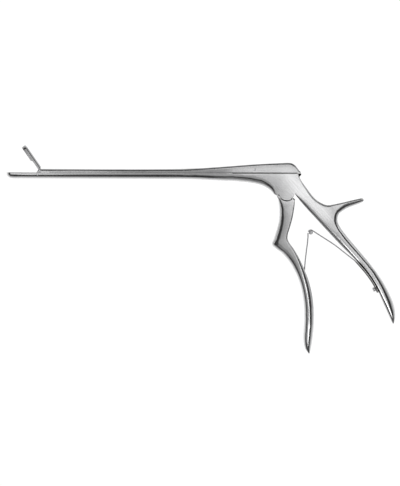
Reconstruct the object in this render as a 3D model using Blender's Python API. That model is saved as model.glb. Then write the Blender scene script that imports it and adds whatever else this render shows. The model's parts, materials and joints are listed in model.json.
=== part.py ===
"""Bone rongeur: a slide-action surgical biting forceps, lying on its side.

Z runs across the width, from the table up. X runs along the shaft, jaws towards -X, and the
handles hang towards -Y. Inside the script all sizes are millimetres about the handle pivot, and
to_metres turns them into Blender's metres when a mesh is made.
"""
import math

import bmesh
import bpy
from mathutils import Vector

for old in list(bpy.data.objects):
    bpy.data.objects.remove(old, do_unlink=True)

# Driving sizes, millimetres
WORKING_LENGTH = 200.0        # jaw tip to the back of the boss
BOSS_BACK = 4.0               # back of the boss behind the handle pivot
SHAFT_WIDTH = 5.5             # width of the bite, jaws and shaft
BODY_WIDTH = 9.5              # width of the body and handles
PARTING_HEIGHT = 13.8         # parting plane above the handle pivot
SHAFT_DEPTH = 4.3             # lower shaft below the parting plane
SLIDE_FRONT_HEIGHT = 2.5      # slide top above the parting plane, at the jaws
SLIDE_REAR_HEIGHT = 7.3       # slide top above the parting plane, at the handles
SLIDE_END = 9.8               # back end of the slide behind the handle pivot
FLARE_START = 80.0            # ahead of the handle pivot, where the shaft starts to widen
FLARE_END = 38.0              # ahead of the handle pivot, where it has the body's width
BOSS_RADIUS = 5.4             # round cheek end about the handle pivot
CHEEK = 2.65                  # thickness of each cheek beside the handle tongue

# Jaws
JAW_PIVOT_BACK = 21.9         # jaw pivot behind the jaw tip
JAW_PIVOT_DEPTH = 1.3         # jaw pivot below the parting plane
JAW_SWING = math.radians(55)  # from open to closed
DRIVE_RADIUS = 2.9            # drive pin from jaw pivot
JAW_HEIGHT = 3.5              # closed upper jaw above the parting plane
JAW_LEG_LIFT = 0.95           # underside of the jaw's leg above the parting plane
CUP_LENGTH = 11.4             # biting cup
CUP_WALL = 0.75               # rim of the cups
LOWER_CUP_DEPTH = 2.6
UPPER_CUP_DEPTH = 2.2
JAW_TONGUE = 2.0              # thickness of the jaw's tongue
PIVOT_PIN_RADIUS = 0.75
DRIVE_PIN_RADIUS = 0.5
TONGUE_END = 1.55             # round end of the jaw's tongue about its pivot
JAW_HEEL = 1.2                # round end of the tongue about the drive pin
WIDE_END = 2.7                # full-width part of the jaw ends this far ahead of its pivot
FORK_WALL = 0.54              # slide ahead of the drive pin's slot
NOSE_LENGTH = 5.0             # rise of the shaft's floor behind the jaw tip

# Handles, pins and springs
TOE_LIFT = 1.7                # toe of the handle above the parting plane
TOE_RADIUS = 1.6
TONGUE_RADIUS = 4.7           # handle tongue about its pivot
SCREW_RADIUS = 2.0            # handle pivot screw
SCREW_HEAD_RADIUS = 3.2
SCREW_HEAD_HEIGHT = 1.2
SCREW_COVER = 1.0             # cheek left over the screw's blind end
RETAINER_RADIUS = 0.7         # cross pin that holds the slide down
RETAINER_AHEAD = 22.2         # cross pin ahead of the handle pivot
RETAINER_LIFT = 2.4           # cross pin above the parting plane
BLADE_LENGTH = 16.0           # guide blade round the cross pin
BLADE_THICKNESS = 2.0
KEY_LENGTH = 8.0              # T key under the front of the slide
KEY_BACK = 36.0               # its front end behind the jaw tip
KEY_NECK = 1.4
KEY_HEAD = 2.6
KEY_HEAD_HEIGHT = 0.6
KEY_LIP = 0.5                 # slide lip under the key's head
LEAF_THICKNESS = 0.8
LEAF_WIDTHS = (5.6, 4.0)      # at the foot and at the tip
ROLLER_RADIUS = 1.3
ROLLER_LENGTH = 6.6
GROOVE_DEPTH = 2.4            # groove for the front leaf
GROOVE_LEAD = 9.5             # groove above the leaf's foot, where the leaf leaves the handle
SPRING_SCREW_RADIUS = 1.0
SPRING_HEAD_RADIUS = 1.6
SPRING_HEAD_HEIGHT = 1.7
SUNK_HEAD_HEIGHT = 0.9
SPRING_SCREW_LENGTH = 3.0
REAR_SCREW_Y = -65.4
FRONT_SCREW_Y = -76.0
REAR_FOOT_Y = (-45.5, -69.3)  # the rear leaf lies on its handle between these heights
FRONT_FOOT_Y = (-60.0, -81.0) # the front leaf lies in its groove between these
ROLLER = (17.1, -27.7)        # knuckle of the two leaves
REAR_LEAF_LINE = [(41.0, -41.8), (33.9, -36.3), (25.2, -30.7)]
FRONT_LEAF_LINE = [(12.75, -55.2), (12.95, -51.0), (14.1, -39.9), (15.15, -30.5), (15.1, -28.6)]
DRIVER_SLOT = 0.6             # width and depth of a screw's slot
UNDER_DROP = 1.15             # underside at the end of the flare, below the shaft's

# Clearances
PART_GAP = 0.25               # between faces that rest or slide on each other
SIDE_GAP = 0.2                # beside a tongue in its slot
PIN_GAP = 0.05                # round a pin in its hole

# Places that follow from the sizes
TIP_X = BOSS_BACK - WORKING_LENGTH
HALF_SHAFT = SHAFT_WIDTH / 2
HALF_BODY = BODY_WIDTH / 2
SLIDE_FLOOR = PARTING_HEIGHT + PART_GAP
JAW_PIVOT = (TIP_X + JAW_PIVOT_BACK, PARTING_HEIGHT - JAW_PIVOT_DEPTH)
DRIVE_RISE = DRIVE_RADIUS * math.cos(JAW_SWING / 2)
TRAVEL = 2 * DRIVE_RADIUS * math.sin(JAW_SWING / 2)
TOE_HEIGHT = PARTING_HEIGHT + TOE_LIFT
TOE_BACK = TRAVEL / 2
HALF_TONGUE = HALF_BODY - CHEEK - SIDE_GAP
SLOT_HALF = HALF_BODY - CHEEK
DRIVE_X = JAW_PIVOT[0] + TRAVEL / 2
SLIDE_FRONT = DRIVE_X - DRIVE_PIN_RADIUS - FORK_WALL
SLOT_FRONT = JAW_PIVOT[0] - 4.2
RETAINER = (-RETAINER_AHEAD, PARTING_HEIGHT + RETAINER_LIFT)
BLADE_TOP = RETAINER[1] + RETAINER_RADIUS + 1.0

# Outlines run anticlockwise. A point of the body is x, y, and the reach and depth of the rounding of
# its edge. A section of a bar is the same for the two points that face each other across it, in the
# order x, y, x, y, reach, reach, depth, depth, and then how far each of its sides stays below the
# body's. The first edge is the one that the outline goes out along.
UNDERSIDE = [(-25.6, 7.1, 5.0, 2.8), (-18.6, 5.75, 5.0, 2.8), (-15.1, 4.3, 4.6, 2.7), (-11.4, 1.9, 3.6, 2.4),
             (-8.6, -1.1, 1.2, 0.9)]
CHEEK_NOTCH = [(-7.0, -1.75, 0.2, 0.2), (5.75, -0.35, 0.2, 0.2)]
REAR_INNER = [(6.4, -1.4, 0.6, 0.3), (9.1, -5.0, 1.8, 0.8), (21.9, -19.2, 2.6, 1.1)]
REAR_BAR = [(33.3, -31.4, 38.9, -25.6, 3.0, 3.0, 1.2, 1.9, 0.0),
            (37.6, -35.9, 42.5, -30.2, 2.8, 3.2, 1.2, 2.0, 0.0),
            (48.3, -46.7, 52.9, -42.4, 1.8, 2.8, 0.9, 2.1, 0.0),
            (57.9, -57.9, 62.7, -54.5, 1.5, 2.8, 0.8, 2.4, 0.0),
            (61.9, -63.9, 67.5, -61.5, 1.5, 3.2, 0.8, 2.7, 0.0),
            (65.7, -71.9, 72.0, -69.8, 2.0, 3.6, 1.2, 2.9, 0.05),
            (70.9, -83.6, 76.2, -82.0, 2.1, 3.0, 1.6, 2.7, 0.45),
            (72.9, -87.9, 76.3, -87.4, 1.5, 1.7, 1.4, 1.8, 0.95),
            (74.5, -91.0, 75.3, -91.1, 0.3, 0.3, 0.4, 0.4, 1.65)]
WEB = [(36.1, -20.6, 3.0, 1.9), (35.7, -18.0, 3.0, 1.9)]
SPUR_BAR = [(36.9, -14.2, 31.6, -8.1, 3.2, 1.4, 2.0, 0.8, 0.0),
            (42.3, -10.6, 39.4, -6.4, 3.3, 1.3, 2.2, 0.8, 0.3),
            (46.6, -8.9, 45.0, -5.0, 2.8, 1.2, 2.1, 0.8, 0.55),
            (50.9, -7.3, 49.9, -3.9, 2.1, 1.1, 1.9, 0.8, 0.75),
            (53.2, -6.2, 52.6, -3.3, 1.5, 1.0, 1.5, 0.9, 0.95)]
SPUR_TIP = [(53.95, -5.5, 1.1, 1.1), (54.15, -4.7, 1.1, 1.1), (53.6, -3.75, 1.0, 1.0)]
BACK = [(28.7, -8.35, 1.8, 0.9), (25.8, -7.6, 2.0, 0.9), (21.2, -4.9, 2.0, 0.8), (14.3, 3.1, 1.6, 0.6), (10.0, 9.1, 0.9, 0.4),
        (7.6, PARTING_HEIGHT, 0.2, 0.2)]
GRIP_TOP = [(-6.9, -2.0, 0.3, 0.3), (-5.9, -4.7, 1.6, 1.2)]
GRIP_CORNER = [(5.9, -4.4, 0.4, 0.3)]
GRIP_BAR = [(-5.3, -8.2, 5.7, -8.2, 3.5, 1.0, 2.3, 0.5, 0.0),
            (-5.0, -11.5, 5.3, -11.5, 4.2, 1.2, 2.5, 0.6, 0.0),
            (-5.5, -20.3, 3.9, -19.2, 5.4, 1.2, 2.8, 0.6, 0.0),
            (-7.4, -27.2, 1.9, -26.0, 6.4, 1.2, 3.0, 0.6, 0.05),
            (-9.4, -33.3, 0.8, -30.4, 7.6, 1.2, 3.2, 0.6, 0.1),
            (-10.3, -35.6, 0.9, -32.6, 8.2, 1.2, 3.2, 0.6, 0.15),
            (-9.1, -37.6, 2.2, -35.0, 8.2, 1.2, 3.1, 0.6, 0.15),
            (-3.6, -41.7, 5.0, -38.8, 6.7, 1.3, 3.0, 0.7, 0.15),
            (1.4, -47.2, 8.4, -44.5, 5.4, 1.5, 2.9, 0.9, 0.1),
            (5.0, -52.8, 11.5, -50.8, 4.2, 2.0, 2.8, 1.3, 0.05),
            (9.7, -64.0, 16.3, -62.3, 3.1, 3.2, 2.6, 2.4, 0.0),
            (12.2, -77.0, 19.2, -76.5, 3.2, 3.6, 2.6, 2.6, 0.0),
            (12.7, -88.0, 19.6, -88.0, 3.2, 3.6, 2.6, 2.7, 0.0),
            (12.1, -98.6, 18.9, -99.4, 3.1, 3.5, 2.6, 2.7, 0.15),
            (12.2, -104.0, 18.2, -104.6, 2.8, 3.0, 2.4, 2.5, 0.45),
            (13.3, -109.0, 17.4, -108.9, 1.9, 2.0, 1.8, 1.9, 0.95),
            (15.8, -112.3, 16.6, -112.0, 0.3, 0.3, 0.4, 0.4, 1.65)]
STOP_LUG = [(6.8, 11.0), (8.7, 11.2), (10.2, 12.6), (10.2, 13.7), (6.8, 13.7)]
STOP_SLOPE = 0.42             # fall of the lug's sides, away from the cheeks
SEAM_EDGE = 0.28              # rounding along the parting plane
SHAFT_ROUNDING = (3.7, 2.65)  # reach and depth of the rounding along the underside of the shaft
SLIDE_ROUNDING = (1.9, 1.2)   # the same along the top of the slide
SLIDE_RISE = [(-126, 0.0), (-89, 0.03), (-74, 0.08), (-60, 0.19), (-46, 0.38), (-18, 0.82)]

SPACING = 3.0                 # between the points of a smooth outline
ARC_STEPS = 5                 # facets round an edge
ROUND = 24                    # facets round a pin


def to_metres(x, y, z=0.0):
    return Vector((x, y, z)) * 0.001


def blend(start, end, share):
    return start + (end - start) * share


def ease(share):
    share = min(max(share, 0.0), 1.0)
    return share * share * (3 - 2 * share)


def smooth_path(points, spacing):
    """A smooth curve through the points, with about one sample in every spacing."""
    gaps = [math.dist(a[:2], b[:2]) for a, b in zip(points, points[1:])]
    slopes = [[(v - u) / gap for u, v in zip(a, b)] for a, b, gap in zip(points, points[1:], gaps)]
    turns = [slopes[0]]
    for before, after, gap, next_gap in zip(slopes, slopes[1:], gaps, gaps[1:]):
        turns.append([(u * next_gap + v * gap) / (gap + next_gap) for u, v in zip(before, after)])
    turns.append(slopes[-1])
    path = []
    for i, gap in enumerate(gaps):
        steps = max(2, round(gap / spacing))
        for step in range(steps):
            t = step / steps
            keep, go = 2 * t ** 3 - 3 * t ** 2 + 1, 3 * t ** 2 - 2 * t ** 3
            lead, trail = (t ** 3 - 2 * t ** 2 + t) * gap, (t ** 3 - t ** 2) * gap
            path.append(tuple(keep * a + go * b + lead * m + trail * n for a, b, m, n
                              in zip(points[i], points[i + 1], turns[i], turns[i + 1])))
    return path + [tuple(points[-1])]


def arc(centre, radius, start, stop, steps):
    """Points on an arc, angles in degrees."""
    angles = [math.radians(blend(start, stop, i / steps)) for i in range(steps + 1)]
    return [(centre[0] + radius * math.cos(a), centre[1] + radius * math.sin(a)) for a in angles]


def circle(centre, radius):
    return arc(centre, radius, 0, 360, ROUND)[:-1]


def stadium(start, end, radius):
    """A slot's outline, from the centre of one round end to the centre of the other."""
    turn = math.degrees(math.atan2(end[1] - start[1], end[0] - start[0]))
    return arc(end, radius, turn - 90, turn + 90, 8) + arc(start, radius, turn + 90, turn + 270, 8)


def side_of(path, i):
    """The unit vector to the left of a path at its point i."""
    before, after = path[max(i - 1, 0)], path[min(i + 1, len(path) - 1)]
    along = Vector((after[0] - before[0], after[1] - before[1])).normalized()
    return Vector((-along.y, along.x))


def offset(path, distance):
    """The path moved to its left."""
    return [tuple(Vector(path[i][:2]) + side_of(path, i) * distance) for i in range(len(path))]


def between(path, high, low):
    """The stretch of a path between two heights."""
    return [p for p in path if low <= p[1] <= high]


def loft(rings):
    """A skin through rings of as many points each, with both ends closed."""
    bm = bmesh.new()
    rows = [[bm.verts.new(to_metres(*p)) for p in ring] for ring in rings]
    for row, following in zip(rows, rows[1:]):
        for k in range(len(row)):
            n = (k + 1) % len(row)
            bm.faces.new((row[k], row[n], following[n], following[k]))
    bm.faces.new(rows[0])
    bm.faces.new(rows[-1])
    return bm


def prism(outline, low, high):
    """A flat outline given thickness from z = low to z = high."""
    return loft([[(x, y, z) for x, y in outline] for z in (low, high)])


def box(x_range, y_range, z_range):
    corners = [(x_range[0], y_range[0]), (x_range[1], y_range[0]),
               (x_range[1], y_range[1]), (x_range[0], y_range[1])]
    return prism(corners, *z_range)


def ribbon(path, thickness, widths):
    """A strip that follows a path, as wide as widths says from its start to its end."""
    rings = []
    for i, point in enumerate(path):
        half = blend(*widths, i / (len(path) - 1)) / 2
        left = side_of(path, i) * (thickness / 2)
        x, y = point[:2]
        rings.append([(x + left.x, y + left.y, -half), (x + left.x, y + left.y, half),
                      (x - left.x, y - left.y, half), (x - left.x, y - left.y, -half)])
    return loft(rings)


def turned(profile, centre, direction):
    """A turned shape: radius and distance along a direction in the XY plane."""
    along = Vector((direction[0], direction[1], 0)).normalized()
    side = Vector((-along.y, along.x, 0))
    rings = []
    for radius, distance in profile:
        ring = []
        for k in range(ROUND):
            angle = 2 * math.pi * k / ROUND
            spoke = side * math.cos(angle) + Vector((0, 0, 1)) * math.sin(angle)
            ring.append(tuple(Vector((*centre, 0)) + along * distance + spoke * radius))
        rings.append(ring)
    return loft(rings)


def across(sections):
    """The two sides of a bar, each as points with the direction towards the other side."""
    going, coming = [], []
    for x, y, far_x, far_y, reach, far_reach, depth, far_depth, half in sections:
        inward = Vector((far_x - x, far_y - y)).normalized()
        going.append((x, y, reach, depth, half, inward))
        coming.append((far_x, far_y, far_reach, far_depth, half, -inward))
    return going, coming


def add_bar(outline, bars, sections, tip=()):
    """Takes the outline out along one side of a bar, round its tip and back along the other."""
    going, coming = across(sections)
    start = len(outline)
    outline += going + list(tip) + coming[::-1]
    bars.append([(start + k, len(outline) - 1 - k) for k in range(len(going))])


def rounded_plate(outline, bars):
    """A plate with rounded edges. A point is x, y, reach, depth, half width, and a way inward.

    A bar is a list of pairs of points that face each other across it, from its root to its tip,
    so that its width can change along it. The rest closes with one flat face on each side.
    """
    bm = bmesh.new()
    count = len(outline)
    rows = []
    for i, (x, y, reach, depth, half, inward) in enumerate(outline):
        if inward is None:
            inward = side_of([outline[i - 1], outline[i], outline[(i + 1) % count]], 1)
        edge = [(reach * (1 - math.cos(a)), half - depth * (1 - math.sin(a)))
                for a in (math.pi / 2 * k / ARC_STEPS for k in range(ARC_STEPS + 1))]
        lower = [(d, -z) for d, z in reversed(edge)]
        rows.append([bm.verts.new(to_metres(x + inward.x * d, y + inward.y * d, z))
                     for d, z in lower + edge])
    for i, row in enumerate(rows):
        following = rows[(i + 1) % count]
        for k in range(len(row) - 1):
            bm.faces.new((row[k], following[k], following[k + 1], row[k + 1]))
    for side in (0, -1):
        rest = set(range(count))
        for pairs in bars:
            for (a, b), (c, d) in zip(pairs, pairs[1:]):
                bm.faces.new((rows[a][side], rows[c][side], rows[d][side], rows[b][side]))
            (first, last), (tip_start, tip_end) = pairs[0], pairs[-1]
            rest -= set(range(first + 1, last))
            if tip_end - tip_start > 1:
                bm.faces.new([rows[i][side] for i in range(tip_start, tip_end + 1)])
        if len(rest) > 2:
            bm.faces.new([rows[i][side] for i in sorted(rest)])
    return bm


def make_mesh(name, bm, pivot):
    """A closed mesh with its faces pointing out and its origin on the pivot."""
    bm.normal_update()
    bmesh.ops.triangulate(bm, faces=[f for f in bm.faces if len(f.verts) > 3])
    bmesh.ops.recalc_face_normals(bm, faces=bm.faces)
    bmesh.ops.translate(bm, verts=bm.verts, vec=-to_metres(*pivot))
    mesh = bpy.data.meshes.new(name)
    bm.to_mesh(mesh)
    bm.free()
    return mesh


def steel(name, colour, roughness):
    material = bpy.data.materials.new(name)
    material.use_nodes = True
    shader = material.node_tree.nodes["Principled BSDF"]
    shader.inputs["Base Color"].default_value = (*colour, 1)
    shader.inputs["Metallic"].default_value = 1.0
    shader.inputs["Roughness"].default_value = roughness
    return material


def make_piece(name, bm, colour=(0.62, 0.63, 0.64), roughness=0.32, pivot=(0, 0), turn=0.0):
    piece = bpy.data.objects.new(name, make_mesh(name, bm, pivot))
    bpy.context.collection.objects.link(piece)
    piece.parent = frame
    piece.location = to_metres(*pivot)
    piece.rotation_euler.z = turn
    piece["pivot"] = pivot
    piece.data.materials.append(steel(name + "_steel", colour, roughness))
    piece.data.shade_smooth()
    piece.data.set_sharp_from_angle(angle=math.radians(40))
    return piece


def change(piece, bm, operation):
    """Cuts a shape out of a piece, or welds it on, with a Boolean that stays live."""
    name = f"{piece.name}_{operation.lower()}_{len(piece.modifiers)}"
    tool = bpy.data.objects.new(name, make_mesh(name, bm, piece["pivot"]))
    bpy.context.collection.objects.link(tool)
    tool.parent = piece
    tool.hide_render = True
    tool.display_type = "WIRE"
    boolean = piece.modifiers.new(name, "BOOLEAN")
    boolean.operation = operation
    boolean.solver = "EXACT"
    boolean.object = tool


def cut(piece, bm):
    change(piece, bm, "DIFFERENCE")


def weld(piece, bm):
    change(piece, bm, "UNION")


def flare_share(x):
    """0 along the slender shaft and 1 at the body."""
    return ease((x + FLARE_START) / (FLARE_START - FLARE_END))


def half_width(x):
    """Half the width of the shaft and of the slide on it."""
    return blend(HALF_SHAFT, HALF_BODY, flare_share(x))


def round_nose():
    """Distances behind the jaw tip and half widths of a nose that is round seen from above."""
    angles = [math.radians(a) for a in (12, 27, 42, 57, 73, 90)]
    return [(HALF_SHAFT * (1 - math.cos(a)), HALF_SHAFT * math.sin(a)) for a in angles]


def cup(length, depth):
    """The hollow of a cup: half a round-ended trough, its rim in the plane y = 0."""
    radius = HALF_SHAFT - CUP_WALL
    front = TIP_X + CUP_WALL
    rings = []
    steps = 6
    spans = [(front + radius, a) for a in range(-90, 1, 90 // steps)]
    spans += [(front + length - 2 * CUP_WALL - radius, a) for a in range(0, 91, 90 // steps)]
    for middle, degrees in spans:
        angle = math.radians(min(max(degrees, -84), 84))
        x = middle + radius * math.sin(angle)
        share = math.cos(angle)
        rings.append([(x, depth * share * math.sin(t), radius * share * math.cos(t))
                      for t in (2 * math.pi * k / ROUND for k in range(ROUND))])
    return rings


def shaft_sections():
    """The lower shaft from the body to the jaw tip: its top, its floor and their rounding."""
    nose = [(TIP_X + back, half) for back, half in round_nose()]
    rest = [blend(TIP_X + NOSE_LENGTH, -FLARE_START, share) for share in (0, 0.02, 0.05, 0.2, 0.6, 1)]
    flare = [blend(-FLARE_START, -FLARE_END, k / 8) for k in range(1, 9)]
    reach, deep = SHAFT_ROUNDING
    sections = []
    for x, half in nose + [(x, half_width(x)) for x in rest + flare]:
        nose_share = min((x - TIP_X) / NOSE_LENGTH, 1.0)
        depth = SHAFT_DEPTH * (0.2 + 0.8 * math.sqrt(1 - (1 - nose_share) ** 2))
        widening = flare_share(x)
        floor_reach = min(blend(reach, UNDERSIDE[0][2], widening), depth - 0.4)
        floor_depth = min(blend(deep, UNDERSIDE[0][3], widening), half - 0.1)
        floor = PARTING_HEIGHT - depth - UNDER_DROP * widening ** 1.5
        sections.append((x, PARTING_HEIGHT, x, floor, SEAM_EDGE, floor_reach, SEAM_EDGE, floor_depth, half))
    return sections[::-1]


def edged(points, slim=0.0):
    """Outline points with the body's half width, and with their way inward left to the plate."""
    return [(x, y, reach, depth, HALF_BODY - slim, None) for x, y, reach, depth in points]


def body_bar(table):
    """Smooth sections of a bar, ending in half their width."""
    return [(*section[:-1], HALF_BODY - max(section[-1], 0.0)) for section in smooth_path(table, SPACING)]


frame = bpy.data.objects.new("rongeur_frame", None)
bpy.context.collection.objects.link(frame)
frame.location = to_metres(59.9, 39.7, HALF_BODY)

rear_sections = body_bar(REAR_BAR)
rear_edge = [section[:2] for section in rear_sections]
grip_sections = body_bar(GRIP_BAR)
grip_edge = [section[2:4] for section in reversed(grip_sections)]
rear_inner = smooth_path(REAR_INNER + [REAR_BAR[0][:2] + REAR_BAR[0][4:7:2]], SPACING)[:-1]


def make_shaft_and_rear_handle():
    shaft = shaft_sections()
    flare_end = shaft[0][2:4] + shaft[0][5:8:2]
    boss = [(x, y, SEAM_EDGE, SEAM_EDGE) for x, y in arc((0, 0), BOSS_RADIUS, 200, 350, 14)]
    outline = edged(smooth_path([flare_end] + UNDERSIDE, SPACING)[1:])
    outline += edged(CHEEK_NOTCH[:1] + boss + CHEEK_NOTCH[1:] + rear_inner)
    bars = []
    add_bar(outline, bars, rear_sections)
    spur = body_bar(SPUR_BAR)
    web_ends = [rear_sections[0][2:4] + rear_sections[0][5:8:2], spur[0][:2] + spur[0][4:7:2]]
    outline += edged(smooth_path(web_ends[:1] + WEB + web_ends[1:], SPACING / 2)[1:-1])
    add_bar(outline, bars, spur, edged(SPUR_TIP, SPUR_BAR[-1][-1]))
    outline += edged(smooth_path([spur[0][2:4] + spur[0][5:8:2]] + BACK, SPACING)[1:])
    add_bar(outline, bars, shaft)
    body = make_piece("shaft_and_rear_handle", rounded_plate(outline, bars))

    blade_front = RETAINER[0] - BLADE_LENGTH / 2
    blade = box((blade_front, blade_front + BLADE_LENGTH), (PARTING_HEIGHT - 2, BLADE_TOP),
                (-BLADE_THICKNESS / 2, BLADE_THICKNESS / 2))
    weld(body, blade)
    for side in (-1, 1):
        lug = [(x, y, side * (HALF_BODY - 0.4 - STOP_SLOPE * (x - STOP_LUG[0][0]))) for x, y in STOP_LUG]
        weld(body, loft([[(x, y, 0) for x, y in STOP_LUG], lug]))
    key_front = TIP_X + KEY_BACK
    key_foot = SLIDE_FLOOR + KEY_LIP + 0.1
    key_range = (key_front, key_front + KEY_LENGTH)
    weld(body, box(key_range, (PARTING_HEIGHT - 1, key_foot + 0.3), (-KEY_NECK / 2, KEY_NECK / 2)))
    weld(body, box((key_front + 0.1, key_front + KEY_LENGTH - 0.1), (key_foot, key_foot + KEY_HEAD_HEIGHT),
                   (-KEY_HEAD / 2, KEY_HEAD / 2)))

    hollow = cup(CUP_LENGTH, LOWER_CUP_DEPTH)
    cut(body, loft([[(x, PARTING_HEIGHT + y, z) for x, y, z in ring] for ring in hollow]))
    tongue_slot = (SLOT_FRONT, DRIVE_X + JAW_HEEL + SIDE_GAP)
    jaw_slot_half = JAW_TONGUE / 2 + SIDE_GAP
    cut(body, box(tongue_slot, (JAW_PIVOT[1] - TONGUE_END - SIDE_GAP, PARTING_HEIGHT + 1),
                  (-jaw_slot_half, jaw_slot_half)))
    cut(body, prism(circle(JAW_PIVOT, PIVOT_PIN_RADIUS + PIN_GAP), -HALF_BODY, HALF_BODY))

    room = TONGUE_RADIUS + 0.6
    neck = TRAVEL / 2 + 2.4
    handle_slot = [(-room, -BOSS_RADIUS - 1), (room, -BOSS_RADIUS - 1), (room, 1.5),
                   (neck, PARTING_HEIGHT + 1), (-neck, PARTING_HEIGHT + 1), (-room, 1.5)]
    cut(body, prism(handle_slot, -SLOT_HALF, SLOT_HALF))
    cut(body, prism(circle((0, 0), SCREW_RADIUS + PIN_GAP), -HALF_BODY - 1, HALF_BODY - SCREW_COVER))
    cut(body, prism(circle((0, 0), SCREW_HEAD_RADIUS + SIDE_GAP), -HALF_BODY - 1,
                    -HALF_BODY + SCREW_HEAD_HEIGHT + PART_GAP + 0.1))
    start, end = (RETAINER[0] - TRAVEL - PIN_GAP, RETAINER[1]), (RETAINER[0] + PIN_GAP, RETAINER[1])
    cut(body, prism(stadium(start, end, RETAINER_RADIUS + PIN_GAP), -BLADE_THICKNESS, BLADE_THICKNESS))
    place, outward = screw_seat(rear_edge, REAR_SCREW_Y)
    cut(body, turned([(SPRING_SCREW_RADIUS + PIN_GAP, -SPRING_SCREW_LENGTH - PART_GAP),
                      (SPRING_SCREW_RADIUS + PIN_GAP, 2)], place, outward))
    return body


def screw_seat(path, height):
    """Where a leaf's screw crosses a handle's edge, and the direction out of the handle."""
    i = min(range(len(path)), key=lambda n: abs(path[n][1] - height))
    return path[i][:2], -side_of(path, i)


def slide_top():
    """The slide's top, from the fork to its rounded back end."""
    low, high = PARTING_HEIGHT + SLIDE_FRONT_HEIGHT, PARTING_HEIGHT + SLIDE_REAR_HEIGHT
    round_end = [(SLIDE_END - 6.7, high - 0.1), (SLIDE_END - 4.6, high - 1.1),
                 (SLIDE_END - 2.7, high - 2.9), (SLIDE_END - 1.1, high - 5.2),
                 (SLIDE_END, SLIDE_FLOOR + 0.8)]
    crest = (SLIDE_END - 10.6, high)
    line = [(x, blend(low, high, share)) for x, share in SLIDE_RISE] + [crest]
    return smooth_path(line, 5.0)[:-1] + smooth_path([crest] + round_end, 1.6)


def make_upper_slide():
    top_front = PARTING_HEIGHT + SLIDE_FRONT_HEIGHT
    chamfer = [(SLIDE_FRONT, JAW_PIVOT[1] + DRIVE_RISE + 0.6), (DRIVE_X - 0.09, top_front)]
    straight = [(blend(SLIDE_FRONT + 3, SLIDE_RISE[0][0] - 4, k / 4), top_front) for k in range(5)]
    line = chamfer + straight + slide_top()
    sections = []
    for x, y in line:
        reach = min(SLIDE_ROUNDING[0], 0.8 * (y - SLIDE_FLOOR - SEAM_EDGE))
        depth = min(blend(SLIDE_ROUNDING[1], 0.8, flare_share(x)), reach)
        sections.append((x, SLIDE_FLOOR, x, y, SEAM_EDGE, reach, SEAM_EDGE, depth, half_width(x)))
    outline, bars = [], []
    add_bar(outline, bars, sections)
    slide = make_piece("upper_slide", rounded_plate(outline, bars), pivot=(SLIDE_FRONT, SLIDE_FLOOR))

    fork_half = JAW_TONGUE / 2 + SIDE_GAP
    cut(slide, box((SLIDE_FRONT - 1, DRIVE_X + JAW_HEEL + 4 * SIDE_GAP), (PARTING_HEIGHT - 1, top_front + 1),
                   (-fork_half, fork_half)))
    drive_low = JAW_PIVOT[1] + DRIVE_RISE
    drive_high = JAW_PIVOT[1] + DRIVE_RADIUS
    drive_slot = stadium((DRIVE_X, drive_low), (DRIVE_X, drive_high), DRIVE_PIN_RADIUS + PIN_GAP)
    cut(slide, prism(drive_slot, -HALF_BODY, HALF_BODY))

    toe_half = TOE_RADIUS + SIDE_GAP / 2
    cut(slide, box((TOE_BACK - toe_half, TOE_BACK + toe_half),
                   (PARTING_HEIGHT - 1, TOE_HEIGHT + TOE_RADIUS + PART_GAP), (-SLOT_HALF, SLOT_HALF)))
    blade_front = RETAINER[0] - BLADE_LENGTH / 2
    blade_room = BLADE_THICKNESS / 2 + SIDE_GAP / 2
    cut(slide, box((blade_front - PART_GAP, blade_front + BLADE_LENGTH + TRAVEL + PART_GAP),
                   (PARTING_HEIGHT - 1, BLADE_TOP + PART_GAP), (-blade_room, blade_room)))
    cut(slide, prism(circle(RETAINER, RETAINER_RADIUS + PIN_GAP), -HALF_BODY - 1, HALF_BODY + 1))

    key_front = TIP_X + KEY_BACK - PART_GAP
    key_back = TIP_X + KEY_BACK + KEY_LENGTH + TRAVEL + PART_GAP
    neck, head = KEY_NECK / 2 + 0.1, KEY_HEAD / 2 + 0.1
    roof = SLIDE_FLOOR + KEY_LIP + 0.1 + KEY_HEAD_HEIGHT + 0.1
    run = (key_front, key_back + 0.5)
    cut(slide, box(run, (PARTING_HEIGHT - 1, SLIDE_FLOOR + KEY_LIP + 0.2), (-neck, neck)))
    cut(slide, box(run, (SLIDE_FLOOR + KEY_LIP, roof), (-head, head)))
    cut(slide, box((key_back, key_back + KEY_LENGTH + 0.6), (PARTING_HEIGHT - 1, roof), (-head, head)))
    return slide


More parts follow.
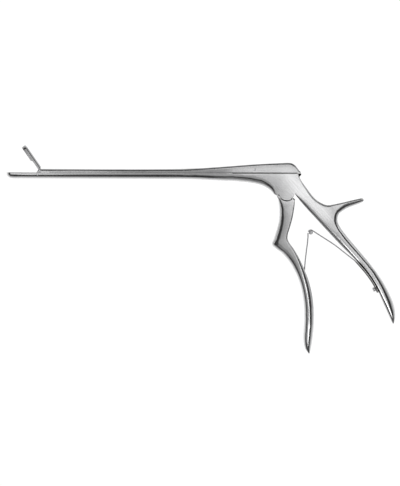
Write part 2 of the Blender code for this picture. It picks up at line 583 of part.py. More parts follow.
def make_upper_jaw():
    """The jaw is drawn closed and then turned open about its pivot."""
    rim, top_line = PARTING_HEIGHT + 0.1, PARTING_HEIGHT + JAW_HEIGHT
    leg = PARTING_HEIGHT + JAW_LEG_LIFT
    places = [(TIP_X + back, half) for back, half in round_nose()]
    places += [(TIP_X + back, HALF_SHAFT) for back in (3.6, CUP_LENGTH, CUP_LENGTH + 0.9)]
    places += [(JAW_PIVOT[0] - WIDE_END - 3.0, HALF_SHAFT), (JAW_PIVOT[0] - WIDE_END, HALF_SHAFT)]
    sections = []
    for x, half in places:
        y = rim if x < TIP_X + CUP_LENGTH + 0.1 else leg
        crown = 0.5 * (1 - min((x - TIP_X) / 3.0, 1.0)) ** 2
        sections.append((x, y, x, top_line - crown, 0.15, 1.4, 0.15, min(2.1, half - 0.1), half))
    outline, bars = [], []
    add_bar(outline, bars, sections)
    jaw = make_piece("upper_jaw", rounded_plate(outline, bars), pivot=JAW_PIVOT, turn=-JAW_SWING)
    drive = (JAW_PIVOT[0] - TRAVEL / 2, JAW_PIVOT[1] + DRIVE_RISE)
    tongue = arc(JAW_PIVOT, TONGUE_END, 200, 385, 12) + arc(drive, JAW_HEEL, 0, 80, 6)
    tongue += [(JAW_PIVOT[0] - WIDE_END - 1.5, top_line - 0.6), (JAW_PIVOT[0] - WIDE_END - 1.5, leg + 0.5),
               (JAW_PIVOT[0] - WIDE_END + 0.2, leg - 0.1)]
    weld(jaw, prism(tongue, -JAW_TONGUE / 2, JAW_TONGUE / 2))
    hollow = cup(CUP_LENGTH, UPPER_CUP_DEPTH)
    cut(jaw, loft([[(x, rim - y, z) for x, y, z in ring] for ring in hollow]))
    cut(jaw, prism(circle(JAW_PIVOT, PIVOT_PIN_RADIUS + PIN_GAP), -HALF_SHAFT, HALF_SHAFT))
    cut(jaw, prism(circle(drive, DRIVE_PIN_RADIUS + PIN_GAP), -HALF_SHAFT, HALF_SHAFT))
    return jaw


def make_front_handle():
    shoulder = [(x, y, 0.3, 0.3) for x, y in arc((0, 0), BOSS_RADIUS + PART_GAP, 322, 199, 12)]
    outline = edged(GRIP_TOP)
    bars = []
    add_bar(outline, bars, grip_sections)
    outline += edged(GRIP_CORNER + shoulder)
    handle = make_piece("front_handle", rounded_plate(outline, bars))

    toe = (TOE_BACK, TOE_HEIGHT)
    tilt = math.degrees(math.asin(TOE_BACK / TOE_HEIGHT))
    tongue = arc(toe, TOE_RADIUS, -58 - tilt, 238 - tilt, 16)
    tongue += arc((0, 0), TONGUE_RADIUS, 155 - tilt, 215, 5) + [(-3.6, -12.0), (3.4, -12.0)]
    tongue += arc((0, 0), TONGUE_RADIUS, -35, 25 - tilt, 5)
    weld(handle, prism(tongue, -HALF_TONGUE, HALF_TONGUE))
    cut(handle, prism(circle((0, 0), SCREW_RADIUS + PIN_GAP), -HALF_BODY, HALF_BODY))

    place, outward = screw_seat(grip_edge, FRONT_SCREW_Y)
    cut(handle, turned([(SPRING_SCREW_RADIUS + PIN_GAP, -GROOVE_DEPTH - SPRING_SCREW_LENGTH),
                        (SPRING_SCREW_RADIUS + PIN_GAP, 1)], place, outward))
    groove_line = between(grip_edge, FRONT_FOOT_Y[0] + GROOVE_LEAD, FRONT_FOOT_Y[1] - 1.0)
    groove_width = LEAF_WIDTHS[0] + 2 * PART_GAP
    groove_middle = offset(groove_line, GROOVE_DEPTH / 2 - 1.0)
    cut(handle, ribbon(groove_middle, GROOVE_DEPTH + 2.0, (groove_width, groove_width)))
    return handle


def make_pin(name, centre, radius, low, high, pivot=(0, 0)):
    """A round pin across the width, with a small chamfer at each end."""
    rings = [(radius - 0.1, low), (radius, low + 0.1), (radius, high - 0.1), (radius - 0.1, high)]
    bm = loft([[(x, y, z) for x, y in circle(centre, r)] for r, z in rings])
    return make_piece(name, bm, pivot=pivot, roughness=0.25)


def make_handle_pivot_screw():
    face = -HALF_BODY + 0.1
    shoulder = face + SCREW_HEAD_HEIGHT
    rings = [(SCREW_HEAD_RADIUS - 0.2, face), (SCREW_HEAD_RADIUS, face + 0.2), (SCREW_HEAD_RADIUS, shoulder),
             (SCREW_RADIUS, shoulder), (SCREW_RADIUS, HALF_BODY - SCREW_COVER - PART_GAP)]
    bm = loft([[(x, y, z) for x, y in circle((0, 0), r)] for r, z in rings])
    screw = make_piece("handle_pivot_screw", bm, roughness=0.25)
    reach = SCREW_HEAD_RADIUS + 1
    cut(screw, box((-reach, reach), (-DRIVER_SLOT / 2, DRIVER_SLOT / 2), (face - 1, face + DRIVER_SLOT)))


def driver_slot(place, outward, head_end):
    """A slot across the end of a spring screw's head, along the handle's width."""
    along, side = Vector(outward), Vector((-outward[1], outward[0]))
    half, floor = DRIVER_SLOT / 2, head_end - DRIVER_SLOT
    corners = [(-half, floor), (-half, head_end + 1), (half, head_end + 1), (half, floor)]
    outline = [tuple(Vector(place) + side * u + along * v) for u, v in corners]
    return prism(outline, -SPRING_HEAD_RADIUS - 1, SPRING_HEAD_RADIUS + 1)


def leaf_hole(place, outward):
    radius = SPRING_SCREW_RADIUS + 2 * PIN_GAP
    return turned([(radius, -6), (radius, 4)], place, outward)


def make_rear_leaf_spring():
    """From its screw up the rear handle, across the gap and over the roller."""
    foot = offset(between(rear_edge, *REAR_FOOT_Y), -PART_GAP - LEAF_THICKNESS / 2)[::-1]
    hook = arc(ROLLER, ROLLER_RADIUS + 3 * PIN_GAP + LEAF_THICKNESS / 2, 62, 160, 7)
    free = smooth_path([foot[-1]] + REAR_LEAF_LINE + [hook[0]], 4.0)
    strip = ribbon(foot[:-1] + free[:-1] + hook, LEAF_THICKNESS, LEAF_WIDTHS)
    leaf = make_piece("rear_leaf_spring", strip, pivot=foot[-1], roughness=0.28)
    cut(leaf, leaf_hole(*screw_seat(rear_edge, REAR_SCREW_Y)))
    make_pin("spring_roller", ROLLER, ROLLER_RADIUS, -ROLLER_LENGTH / 2, ROLLER_LENGTH / 2, foot[-1])


def make_front_leaf_spring():
    """From its screw in the groove of the front handle up to the roller."""
    depth = GROOVE_DEPTH - PART_GAP - LEAF_THICKNESS / 2
    foot = offset(between(grip_edge, *FRONT_FOOT_Y), depth)
    free = smooth_path([foot[-1]] + FRONT_LEAF_LINE, 4.0)
    strip = ribbon(foot[:-1] + free, LEAF_THICKNESS, LEAF_WIDTHS)
    leaf = make_piece("front_leaf_spring", strip, pivot=FRONT_LEAF_LINE[0], roughness=0.28)
    cut(leaf, leaf_hole(*screw_seat(grip_edge, FRONT_SCREW_Y)))


def make_spring_screws():
    shank, head = SPRING_SCREW_RADIUS, SPRING_HEAD_RADIUS
    for name, edge, height, sunk, rise in (
            ("rear_spring_screw", rear_edge, REAR_SCREW_Y, 0, SPRING_HEAD_HEIGHT),
            ("front_spring_screw", grip_edge, FRONT_SCREW_Y, GROOVE_DEPTH, SUNK_HEAD_HEIGHT)):
        seat = PART_GAP + LEAF_THICKNESS + 2 * PIN_GAP - sunk
        end = PIN_GAP - SPRING_SCREW_LENGTH - sunk
        profile = [(shank - 0.3, end), (shank, end + 0.3), (shank, seat), (head, seat),
                   (head, seat + rise - 0.25), (head - 0.25, seat + rise)]
        place, outward = screw_seat(edge, height)
        screw = make_piece(name, turned(profile, place, outward), roughness=0.25)
        cut(screw, driver_slot(place, outward, seat + rise))


make_shaft_and_rear_handle()
make_upper_slide()
make_upper_jaw()
make_front_handle()
make_pin("jaw_pivot_pin", JAW_PIVOT, PIVOT_PIN_RADIUS, -HALF_SHAFT + PIN_GAP, HALF_SHAFT - PIN_GAP,
         JAW_PIVOT)
make_pin("jaw_drive_pin", (DRIVE_X, JAW_PIVOT[1] + DRIVE_RISE), DRIVE_PIN_RADIUS,
         -HALF_SHAFT + SIDE_GAP, HALF_SHAFT - SIDE_GAP, JAW_PIVOT)
pin_half = half_width(RETAINER[0]) - PIN_GAP
make_pin("slide_retaining_pin", RETAINER, RETAINER_RADIUS, -pin_half, pin_half, (SLIDE_FRONT, SLIDE_FLOOR))
make_handle_pivot_screw()
make_rear_leaf_spring()
make_front_leaf_spring()
make_spring_screws()
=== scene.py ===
"""The looks of a bone rongeur that lies on its side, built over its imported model.

Everything is in metres in the model's own frame: X runs along the shaft from the jaws to the
handles, and Z runs up, across the width of the instrument.
"""
import json
import math

import bpy
from mathutils import Matrix, Vector


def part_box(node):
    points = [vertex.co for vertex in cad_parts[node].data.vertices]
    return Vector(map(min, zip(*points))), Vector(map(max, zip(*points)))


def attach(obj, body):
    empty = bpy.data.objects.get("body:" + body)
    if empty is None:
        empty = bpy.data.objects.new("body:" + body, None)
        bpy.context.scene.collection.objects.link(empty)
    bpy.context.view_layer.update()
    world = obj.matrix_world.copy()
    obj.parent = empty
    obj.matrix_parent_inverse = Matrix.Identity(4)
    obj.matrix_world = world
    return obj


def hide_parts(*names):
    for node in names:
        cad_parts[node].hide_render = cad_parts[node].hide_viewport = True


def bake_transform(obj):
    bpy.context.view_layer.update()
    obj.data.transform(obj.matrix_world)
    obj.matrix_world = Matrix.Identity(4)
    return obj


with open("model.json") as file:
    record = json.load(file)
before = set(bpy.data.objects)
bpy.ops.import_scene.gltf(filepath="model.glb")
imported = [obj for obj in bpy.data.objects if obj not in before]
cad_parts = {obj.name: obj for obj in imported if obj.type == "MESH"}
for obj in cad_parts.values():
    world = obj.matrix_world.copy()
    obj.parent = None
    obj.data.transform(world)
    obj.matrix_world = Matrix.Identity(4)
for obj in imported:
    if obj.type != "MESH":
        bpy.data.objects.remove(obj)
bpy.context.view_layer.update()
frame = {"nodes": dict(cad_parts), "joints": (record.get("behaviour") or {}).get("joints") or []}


# Shaft and rear handle. One forging of stainless steel, ground to shape, blasted, and brushed along
# its handle to a satin finish. It carries every other piece.

joints = {joint["name"]: joint for joint in frame["joints"]}
pivot = Vector(joints["handle_squeeze"]["pos_m"])


def calculate(tree, operation, *values):
    """The output of a new math node in tree, worked out from numbers and from sockets."""
    node = tree.nodes.new("ShaderNodeMath")
    node.operation = operation
    for socket, value in zip(node.inputs, values):
        if isinstance(value, (int, float)):
            socket.default_value = value
        else:
            tree.links.new(value, socket)
    return node.outputs[0]


def fade(tree, value, start, end, slope="LINEAR"):
    """0 where value is at start and 1 where it is at end, also when end is the smaller one."""
    node = tree.nodes.new("ShaderNodeMapRange")
    node.interpolation_type = slope
    node.inputs["From Min"].default_value = start
    node.inputs["From Max"].default_value = end
    tree.links.new(value, node.inputs["Value"])
    return node.outputs["Result"]


def new_group(name, inputs, outputs):
    """An empty shader node group with its sockets given as pairs of name and kind."""
    group = bpy.data.node_groups.new(name, "ShaderNodeTree")
    for side, sockets in [("INPUT", inputs), ("OUTPUT", outputs)]:
        for socket, kind in sockets:
            group.interface.new_socket(socket, in_out=side, socket_type="NodeSocket" + kind)
    given, out = group.nodes.new("NodeGroupInput"), group.nodes.new("NodeGroupOutput")
    return group, given.outputs, out.inputs


def steel_surface():
    """The satin surface that all the steel shares: blasted grain, brush lines and clouding."""
    group, given, out = new_group("steel_surface",
                                  [("Vector", "Vector"), ("Tint", "Color"), ("Roughness", "Float"),
                                   ("Brushing", "Float"), ("Clouding", "Float")],
                                  [("Color", "Color"), ("Roughness", "Float"), ("Height", "Float")])
    nodes, links = group.nodes, group.links

    def noise(scale, detail, vector):
        node = nodes.new("ShaderNodeTexNoise")
        node.inputs["Scale"].default_value = scale
        node.inputs["Detail"].default_value = detail
        links.new(vector, node.inputs["Vector"])
        return node.outputs["Fac"]

    def swing(value, amount):
        """Noise round zero, as strong as amount says."""
        return calculate(group, "MULTIPLY", calculate(group, "SUBTRACT", value, 0.5), amount)

    stretch = nodes.new("ShaderNodeMapping")
    stretch.inputs["Scale"].default_value = (1.0, 26.0, 26.0)
    links.new(given["Vector"], stretch.inputs["Vector"])
    streaks = swing(noise(70.0, 5.0, stretch.outputs["Vector"]), given["Brushing"])
    clouds = swing(noise(120.0, 6.0, given["Vector"]), given["Clouding"])
    grain = noise(3200.0, 3.0, given["Vector"])

    shade = calculate(group, "ADD", clouds, calculate(group, "MULTIPLY", streaks, 0.6))
    tint = nodes.new("ShaderNodeVectorMath")
    tint.operation = "SCALE"
    links.new(given["Tint"], tint.inputs[0])
    links.new(calculate(group, "ADD", shade, 1.0), tint.inputs["Scale"])
    links.new(tint.outputs["Vector"], out["Color"])

    dull = calculate(group, "ADD", given["Roughness"], calculate(group, "MULTIPLY", clouds, 0.5))
    bright = calculate(group, "MULTIPLY", streaks, 0.35)
    links.new(calculate(group, "SUBTRACT", dull, bright), out["Roughness"])
    pits = calculate(group, "MULTIPLY", grain, 0.5)
    links.new(calculate(group, "ADD", pits, calculate(group, "MULTIPLY", streaks, 2.0)), out["Height"])
    return group


surface = steel_surface()


def satin_steel(name, tint, roughness, brushed_towards, brushing=0.3, clouding=0.25):
    """A satin steel. brushed_towards is the direction of its brush lines, in degrees from +X."""
    material = bpy.data.materials.new(name)
    material.use_nodes = True
    nodes, links = material.node_tree.nodes, material.node_tree.links
    shader = nodes["Principled BSDF"]
    shader.inputs["Metallic"].default_value = 1.0
    place = nodes.new("ShaderNodeTexCoord")
    along = nodes.new("ShaderNodeMapping")
    along.inputs["Rotation"].default_value = (0, 0, -math.radians(brushed_towards))
    links.new(place.outputs["Object"], along.inputs["Vector"])
    finish = nodes.new("ShaderNodeGroup")
    finish.node_tree = surface
    finish.inputs["Tint"].default_value = (*tint, 1)
    finish.inputs["Roughness"].default_value = roughness
    finish.inputs["Brushing"].default_value = brushing
    finish.inputs["Clouding"].default_value = clouding
    links.new(along.outputs["Vector"], finish.inputs["Vector"])
    bump = nodes.new("ShaderNodeBump")
    bump.inputs["Strength"].default_value = 0.25
    bump.inputs["Distance"].default_value = 0.00003
    links.new(finish.outputs["Height"], bump.inputs["Height"])
    links.new(finish.outputs["Color"], shader.inputs["Base Color"])
    links.new(finish.outputs["Roughness"], shader.inputs["Roughness"])
    links.new(bump.outputs["Normal"], shader.inputs["Normal"])
    return material


def paint_shade(material, unshaded_share, tint):
    """Paints shade on a steel: it takes another tint where the given socket is 0."""
    tree = material.node_tree
    target = tree.nodes["Principled BSDF"].inputs["Base Color"]
    mixed = tree.nodes.new("ShaderNodeMix")
    mixed.data_type = "RGBA"
    mixed.inputs[6].default_value = (*tint, 1)
    tree.links.new(unshaded_share, mixed.inputs[0])
    tree.links.new(target.links[0].from_socket, mixed.inputs[7])
    tree.links.new(mixed.outputs[2], target)


def painted_seam_shade():
    """Painted shade in the seams: a dark tint that stands in for the shade there. Its output is 0 where
    the shade is painted and 1 on bare steel.

    It is painted along the parting line, at the height Line and on the body alone, and as a painted
    shadow on that line from the X of Corner on. It is also painted in the ring under the pivot, where
    the body's round end meets the front handle, and on the rear handle's edge along the foot of its
    leaf, where the leaf shades it.
    """
    body_start, ring_radius = 0.022, 0.00553
    ring_top = pivot.y - 0.0008
    edge_centre, edge_radius = (0.0547, -0.0626), 0.0771
    leaf_top, leaf_end = -0.0065, -0.0305
    least_reach = 0.00001

    group, given, out = new_group("painted_seam_shade",
                                  [("Vector", "Vector"), ("Line", "Float"), ("Line Width", "Float"),
                                   ("Corner", "Float"), ("Corner Width", "Float"),
                                   ("Ring Width", "Float"), ("Foot Width", "Float")],
                                  [("Unshaded", "Float")])
    nodes, links = group.nodes, group.links
    split = nodes.new("ShaderNodeSeparateXYZ")
    links.new(given["Vector"], split.inputs[0])
    x, y = split.outputs["X"], split.outputs["Y"]
    level = nodes.new("ShaderNodeVectorMath")
    level.operation = "MULTIPLY"
    level.inputs[1].default_value = (1, 1, 0)
    links.new(given["Vector"], level.inputs[0])

    def away(value, middle, reach):
        """0 within reach of middle and 1 farther off, with a soft edge."""
        gap = calculate(group, "ABSOLUTE", calculate(group, "SUBTRACT", value, middle))
        share = calculate(group, "DIVIDE", gap, calculate(group, "MAXIMUM", reach, least_reach))
        return fade(group, share, 0.6, 1.2, "SMOOTHSTEP")

    def distance(centre_x, centre_y):
        """How far a point lies from an upright axis."""
        node = nodes.new("ShaderNodeVectorMath")
        node.operation = "DISTANCE"
        node.inputs[1].default_value = (centre_x, centre_y, 0)
        links.new(level.outputs["Vector"], node.inputs[0])
        return node.outputs["Value"]

    on_body = calculate(group, "GREATER_THAN", x, body_start)
    past_corner = calculate(group, "GREATER_THAN", x, given["Corner"])
    line_reach = calculate(group, "ADD", calculate(group, "MULTIPLY", on_body, given["Line Width"]),
                           calculate(group, "MULTIPLY", past_corner, given["Corner Width"]))
    line = away(y, given["Line"], line_reach)
    whole_ring = away(distance(pivot.x, pivot.y), ring_radius, given["Ring Width"])
    ring = calculate(group, "MAXIMUM", whole_ring, fade(group, y, ring_top - 0.0004, ring_top))
    edge = away(distance(*edge_centre), edge_radius, given["Foot Width"])
    beside_leaf = calculate(group, "MAXIMUM", fade(group, y, leaf_top - 0.003, leaf_top),
                            fade(group, y, leaf_end + 0.002, leaf_end))
    foot = calculate(group, "MAXIMUM", edge, beside_leaf)
    seams = calculate(group, "MULTIPLY", calculate(group, "MULTIPLY", line, ring), foot)
    links.new(seams, out["Unshaded"])
    return group


# The node group that paints shade into the seams as a dark tint.
seam_shade_group = painted_seam_shade()


def shade_seams(material, places):
    """Paints shade into a steel's seams as a dark tint. places holds the values of the group's sockets."""
    nodes, links = material.node_tree.nodes, material.node_tree.links
    place = nodes.new("ShaderNodeTexCoord")
    seams = nodes.new("ShaderNodeGroup")
    seams.node_tree = seam_shade_group
    for socket, value in places.items():
        seams.inputs[socket].default_value = value
    links.new(place.outputs["Object"], seams.inputs["Vector"])
    # The painted shade is a near-black tint.
    paint_shade(material, seams.outputs["Unshaded"], (0.03, 0.028, 0.026))


def finish_piece(node, material):
    """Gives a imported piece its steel, and shades its rounded edges as smooth as they are ground."""
    piece = frame["nodes"][node]
    piece.data.materials.clear()
    piece.data.materials.append(material)
    piece.data.shade_smooth()
    weld = piece.modifiers.new("joined_faces", "WELD")
    weld.merge_threshold = 1e-6
    split = piece.modifiers.new("crisp_edges", "EDGE_SPLIT")
    split.split_angle = math.radians(38)
    flat = piece.modifiers.new("flat_faces_stay_flat", "WEIGHTED_NORMAL")
    flat.weight = 80


shaft_steel = satin_steel("shaft_and_rear_handle_steel", (0.66, 0.66, 0.665), 0.17, -48, clouding=0.2)
# Painted shade: a dark tint along the parting line on the body, a painted shadow under the slide's rear end,
# and painted shade in the ring under the pivot and along the leaf's foot.
shade_seams(shaft_steel, {"Line": 0.0533, "Line Width": 0.00031, "Corner": 0.0683, "Corner Width": 0.0026,
                         "Ring Width": 0.0003, "Foot Width": 0.0016})
finish_piece("shaft_and_rear_handle", shaft_steel)


# Upper slide. A long bar of the same steel, fitted to the shaft and finished with it, so that its
# brush lines run along the shaft.

finish_piece("upper_slide", satin_steel("upper_slide_steel", (0.6, 0.6, 0.605), 0.17, 0))


# Bearing edges of the slide. The burnished edges of the face that rubs on the shaft: a bright thread
# in the parting gap along the shaft, and a dark one where the gap is deep, along the body.

edge_length, edge_height, edge_width = 0.173, 0.00022, 0.0005
burnished = satin_steel("burnished_steel", (0.6, 0.6, 0.6), 0.2, 0, brushing=0.1)
for side, out_from_middle in [("near", 0.00195), ("far", -0.00195)]:
    bpy.ops.object.select_all(action="DESELECT")
    bpy.ops.mesh.primitive_cube_add(size=1, location=(-0.0195, 0.05362, pivot.z + out_from_middle),
                                    scale=(edge_length, edge_height, edge_width))
    edge = bpy.context.object
    edge.name = side + "_bearing_edge"
    bpy.ops.object.transform_apply(location=True, scale=True)
    edge.data.materials.append(burnished)
    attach(edge, "slide")


# Upper jaw. Hardened and ground, with a sharp rim round its cup, a little duller than the shaft.

finish_piece("upper_jaw", satin_steel("upper_jaw_steel", (0.42, 0.42, 0.425), 0.24, -55))


# Front handle. A forging like the rear one, brushed along its length. Painted shade darkens the
# corner of its shoulder, beside the body's round end, and the ring round the pivot.

handle_steel = satin_steel("front_handle_steel", (0.72, 0.72, 0.725), 0.17, -80, clouding=0.2)
shade_seams(handle_steel, {"Line": 0.0364, "Corner": 0.0642, "Corner Width": 0.00161, "Ring Width": 0.00035})
finish_piece("front_handle", handle_steel)


# Pins and screws. Turned from bar, ground flush where they end in the sides, and polished on
# their heads.

turned_steel = satin_steel("turned_pin_steel", (0.6, 0.6, 0.61), 0.2, 90, brushing=0.15)
for pin in ("jaw_pivot_pin", "jaw_drive_pin", "slide_retaining_pin", "handle_pivot_screw",
            "front_spring_screw"):
    finish_piece(pin, turned_steel)


# Leaf springs. Cut from rolled spring steel, bent cold and held by one screw each. Each runs from
# the handle it is screwed to, to the roller at their knuckle.

knuckle = sum(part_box("spring_roller"), Vector()) / 2


def merged_copy(node, name):
    """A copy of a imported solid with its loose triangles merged, for a piece that takes its place."""
    bpy.ops.object.select_all(action="DESELECT")
    piece = bpy.data.objects.new(name, frame["nodes"][node].data.copy())
    bpy.context.scene.collection.objects.link(piece)
    bpy.context.view_layer.objects.active = piece
    piece.select_set(True)
    bpy.ops.object.mode_set(mode="EDIT")
    bpy.ops.mesh.select_all(action="SELECT")
    bpy.ops.mesh.remove_doubles(threshold=1e-6)
    bpy.ops.object.mode_set(mode="OBJECT")
    piece.data.materials.clear()
    return piece


def leaf_steel(name, brushed_towards, foot):
    """Spring steel with painted shade along its edges where the leaf lies on its handle, below the height
    foot.
    """
    unshaded_half_width, shaded_half_width = 0.0018, 0.0026
    material = satin_steel(name, (0.36, 0.36, 0.37), 0.3, brushed_towards)
    tree = material.node_tree
    place = tree.nodes.new("ShaderNodeTexCoord")
    split = tree.nodes.new("ShaderNodeSeparateXYZ")
    tree.links.new(place.outputs["Object"], split.inputs[0])
    free = fade(tree, split.outputs["Y"], foot, foot + 0.0015)
    off_middle = calculate(tree, "ABSOLUTE", calculate(tree, "SUBTRACT", split.outputs["Z"], pivot.z))
    middle = fade(tree, off_middle, shaded_half_width, unshaded_half_width)
    # A dark tint painted as the shade along the leaf's edges by its foot.
    paint_shade(material, calculate(tree, "MAXIMUM", free, middle), (0.08, 0.078, 0.076))
    return material


def spring_leaf(node, steel, tip_reach=0.0):
    """A leaf copied from its imported solid, with its tip longer by tip_reach."""
    leaf = merged_copy(node, node.replace("_spring", ""))
    bpy.ops.object.mode_set(mode="EDIT")
    bpy.ops.mesh.tris_convert_to_quads()
    bpy.ops.object.mode_set(mode="OBJECT")
    bpy.ops.object.shade_smooth_by_angle(angle=math.radians(38))
    vertices = leaf.data.vertices
    tip_start = max(vertex.co.y for vertex in vertices) - 0.0003
    for vertex in vertices:
        if vertex.co.y > tip_start:
            vertex.co.y += tip_reach
    leaf.data.materials.append(steel)
    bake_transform(leaf)
    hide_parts(node)


spring_leaf("rear_leaf_spring", leaf_steel("rear_leaf_steel", -40, -0.0092))
spring_leaf("front_leaf_spring", leaf_steel("front_leaf_steel", 84, -0.0128),
            tip_reach=0.0007)


# Spring roller. A turned pin that the rear leaf hooks round and touches. Its ends are rounded over
# to a small bright face, so that a dark rim shows round it.

bpy.ops.object.select_all(action="DESELECT")
low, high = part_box("spring_roller")
roller_radius = (high.x - low.x) / 2 + 0.00006
bpy.ops.mesh.primitive_cylinder_add(vertices=48, radius=roller_radius, depth=high.z - low.z, location=knuckle)
roller = bpy.context.object
roller.name = "turned_spring_roller"
bpy.ops.object.transform_apply(location=True)
rounded = roller.modifiers.new("rounded_ends", "BEVEL")
rounded.width = 0.0005
rounded.segments = 6
rounded.limit_method = "ANGLE"
bpy.ops.object.modifier_apply(modifier="rounded_ends")
bpy.ops.object.shade_smooth_by_angle(angle=math.radians(38))
roller.data.materials.append(satin_steel("spring_roller_steel", (0.5, 0.5, 0.51), 0.2, 90, brushing=0.15))
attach(roller, joints["rear_leaf_bend"]["child"])
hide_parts("spring_roller")


# Rear spring screw. A slotted cheese-head screw, with its slot left askew where it was tightened:
# it is turned on its own axis, which runs outward from its seat on the leaf.

seat, outward = Vector((0.12316, -0.02681, pivot.z)), Vector((-0.8985, -0.4391, 0.0))
tightened = Matrix.Rotation(math.radians(88), 4, outward)
screw = merged_copy("rear_spring_screw", "turned_rear_spring_screw")
bpy.ops.mesh.customdata_custom_splitnormals_clear()
screw.data.transform(Matrix.Translation(seat) @ tightened @ Matrix.Translation(-seat))
bpy.ops.object.shade_smooth_by_angle(angle=math.radians(38))
screw.data.materials.append(satin_steel("rear_screw_steel", (0.72, 0.72, 0.73), 0.28, 90, brushing=0.15))
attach(screw, "shaft")
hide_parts("rear_spring_screw")


# Table. White paper just under the instrument. It keeps the instrument's shadow, and it shows white
# to the camera, through anything clear and in the steel that mirrors it.

bpy.ops.object.select_all(action="DESELECT")
bpy.ops.mesh.primitive_plane_add(size=8, location=(0, 0, -0.00005))
table = bpy.context.object
table.name = "white_table"
paper = bpy.data.materials.new("white_paper")
paper.use_nodes = True
nodes, links = paper.node_tree.nodes, paper.node_tree.links
matt = nodes["Principled BSDF"]
matt.inputs["Base Color"].default_value = (0.3, 0.3, 0.3, 1)
matt.inputs["Roughness"].default_value = 1.0
matt.inputs["Specular IOR Level"].default_value = 0.0
rays = nodes.new("ShaderNodeLightPath")
seen = calculate(paper.node_tree, "MAXIMUM", rays.outputs["Is Camera Ray"],
                 rays.outputs["Is Transmission Ray"])
mirrored = calculate(paper.node_tree, "MAXIMUM", seen, rays.outputs["Is Glossy Ray"])
glow = nodes.new("ShaderNodeEmission")
glow.inputs["Color"].default_value = (1, 1, 1, 1)
links.new(calculate(paper.node_tree, "MULTIPLY", mirrored, 0.95), glow.inputs["Strength"])
pale = nodes.new("ShaderNodeAddShader")
links.new(matt.outputs[0], pale.inputs[0])
links.new(glow.outputs[0], pale.inputs[1])
links.new(pale.outputs[0], nodes["Material Output"].inputs["Surface"])
table.data.materials.append(paper)


# Studio. A canopy with its brightest part straight above, and a ring of black flags half way down,
# which the rounded edges of the steel mirror as dark lines. The camera sees white instead.

studio = bpy.data.worlds.new("studio")
bpy.context.scene.world = studio
studio.use_nodes = True
nodes, links = studio.node_tree.nodes, studio.node_tree.links
direction = nodes.new("ShaderNodeTexCoord")


def sky_rings(lean, lean_to, rings):
    """Rings of light round an axis that leans off the vertical by lean degrees, towards lean_to.

    rings holds pairs of a ring's angle from the axis, in degrees, and its light.
    """
    tilt, turn = math.radians(lean), math.radians(lean_to)
    axis = (math.sin(tilt) * math.cos(turn), math.sin(tilt) * math.sin(turn), math.cos(tilt))
    towards = nodes.new("ShaderNodeVectorMath")
    towards.operation = "DOT_PRODUCT"
    towards.inputs[1].default_value = axis
    links.new(direction.outputs["Generated"], towards.inputs[0])
    angle = calculate(studio.node_tree, "ARCCOSINE", towards.outputs["Value"])
    ramp = nodes.new("ShaderNodeValToRGB")
    links.new(calculate(studio.node_tree, "DIVIDE", angle, math.pi / 2), ramp.inputs["Fac"])
    while len(ramp.color_ramp.elements) < len(rings):
        ramp.color_ramp.elements.new(0.5)
    for element, (degrees, light) in zip(ramp.color_ramp.elements, rings):
        element.position = degrees / 90
        element.color = (light, light, light, 1)
    return ramp.outputs["Color"]


canopy = sky_rings(10, 30, [(0, 1.6), (4, 1.3), (8, 0.55), (14, 0.45), (20, 0.45), (30, 0.45), (60, 0.55),
                            (90, 0.6)])
flags = sky_rings(5, 215, [(0, 1.0), (14, 1.0), (20, 0.08), (52, 0.08), (58, 1.0)])
light = nodes.new("ShaderNodeVectorMath")
light.operation = "MULTIPLY"
links.new(canopy, light.inputs[0])
links.new(flags, light.inputs[1])
sky = nodes["Background"]
links.new(light.outputs["Vector"], sky.inputs["Color"])
white = nodes.new("ShaderNodeBackground")
white.inputs["Color"].default_value = (1, 1, 1, 1)
rays = nodes.new("ShaderNodeLightPath")
shown = nodes.new("ShaderNodeMixShader")
links.new(rays.outputs["Is Camera Ray"], shown.inputs["Fac"])
links.new(sky.outputs[0], shown.inputs[1])
links.new(white.outputs[0], shown.inputs[2])
links.new(shown.outputs[0], nodes["World Output"].inputs["Surface"])


# Softboxes. Small ellipses close above the steel. One straight over a flat brightens that flat, and
# one beside the instrument brightens the rounded edges that face it. Each row gives its centre, its
# length and width, its turn in degrees and its light.

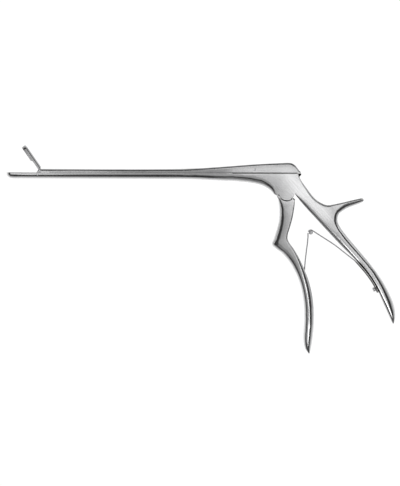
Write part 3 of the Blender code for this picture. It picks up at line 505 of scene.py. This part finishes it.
softboxes = [
    ("neck_softbox", (0.07775, 0.0383, 0.12), (0.056, 0.011), -47, 1.05),
    ("body_softbox", (0.04555, 0.0572, 0.12), (0.055, 0.01), 0, 0.65),
    ("front_softbox", (0.06375, 0.0334, 0.12), (0.01, 0.01), 0, 0.35),
    ("shaft_softbox", (-0.09725, 0.0544, 0.12), (0.08, 0.014), 0, 0.7),
    ("left_softbox", (0.01685, -0.0618, 0.12), (0.05, 0.06), 0, 0.25),
    ("far_edge_softbox", (0.19535, 0.1153, 0.12), (0.1, 0.12), 0, 0.85),
    ("tip_softbox", (-0.12665, 0.0124, 0.12), (0.06, 0.03), 0, 0.9),
    ("jaw_side_softbox", (-0.08745, 0.0852, 0.12), (0.03, 0.03), 0, 0.5),
    ("edge_softbox", (0.10295, 0.0684, 0.12), (0.03, 0.03), 0, 0.6),
    ("back_softbox", (0.02735, 0.0922, 0.12), (0.1, 0.03), 0, 0.9),
    ("jaw_softbox", (-0.11755, 0.0649, 0.12), (0.022, 0.01), -57, 1.4),
    ("grip_softbox", (0.10435, -0.0646, 0.2), (0.1, 0.06), -60, 2.7),
]
for name, centre, (length, width), turn, light in softboxes:
    lamp = bpy.data.lights.new(name, "AREA")
    lamp.shape = "ELLIPSE"
    lamp.size, lamp.size_y = length, width
    area = math.pi / 4 * length * width
    lamp.energy = light * math.pi * area
    softbox = bpy.data.objects.new(name, lamp)
    bpy.context.scene.collection.objects.link(softbox)
    softbox.location = centre
    softbox.rotation_euler = (0, 0, math.radians(turn))
    softbox.visible_camera = False


# Camera. It looks straight down on the side of the instrument from far off, as in the photograph,
# whose frame is 400 by 486 pixels of 0.7 mm each. The pivot lies at pivot_pixel.

pixel = 0.0007
photo_width, photo_height = 400, 486
pivot_pixel = (286.5, 193.0)
roll = 0.0035
distance = 3.0

across = (photo_width / 2 - pivot_pixel[0]) * pixel
up = (pivot_pixel[1] - photo_height / 2) * pixel
optics = bpy.data.cameras.new("camera")
camera = bpy.data.objects.new("camera", optics)
bpy.context.scene.collection.objects.link(camera)
camera.location = pivot + Vector((across - roll * up, up + roll * across, distance))
camera.rotation_euler = (0, 0, roll)
optics.lens = optics.sensor_width * distance / (photo_height * pixel)
optics.clip_end = 20
bpy.context.scene.camera = camera
bpy.context.scene.view_settings.view_transform = "Standard"
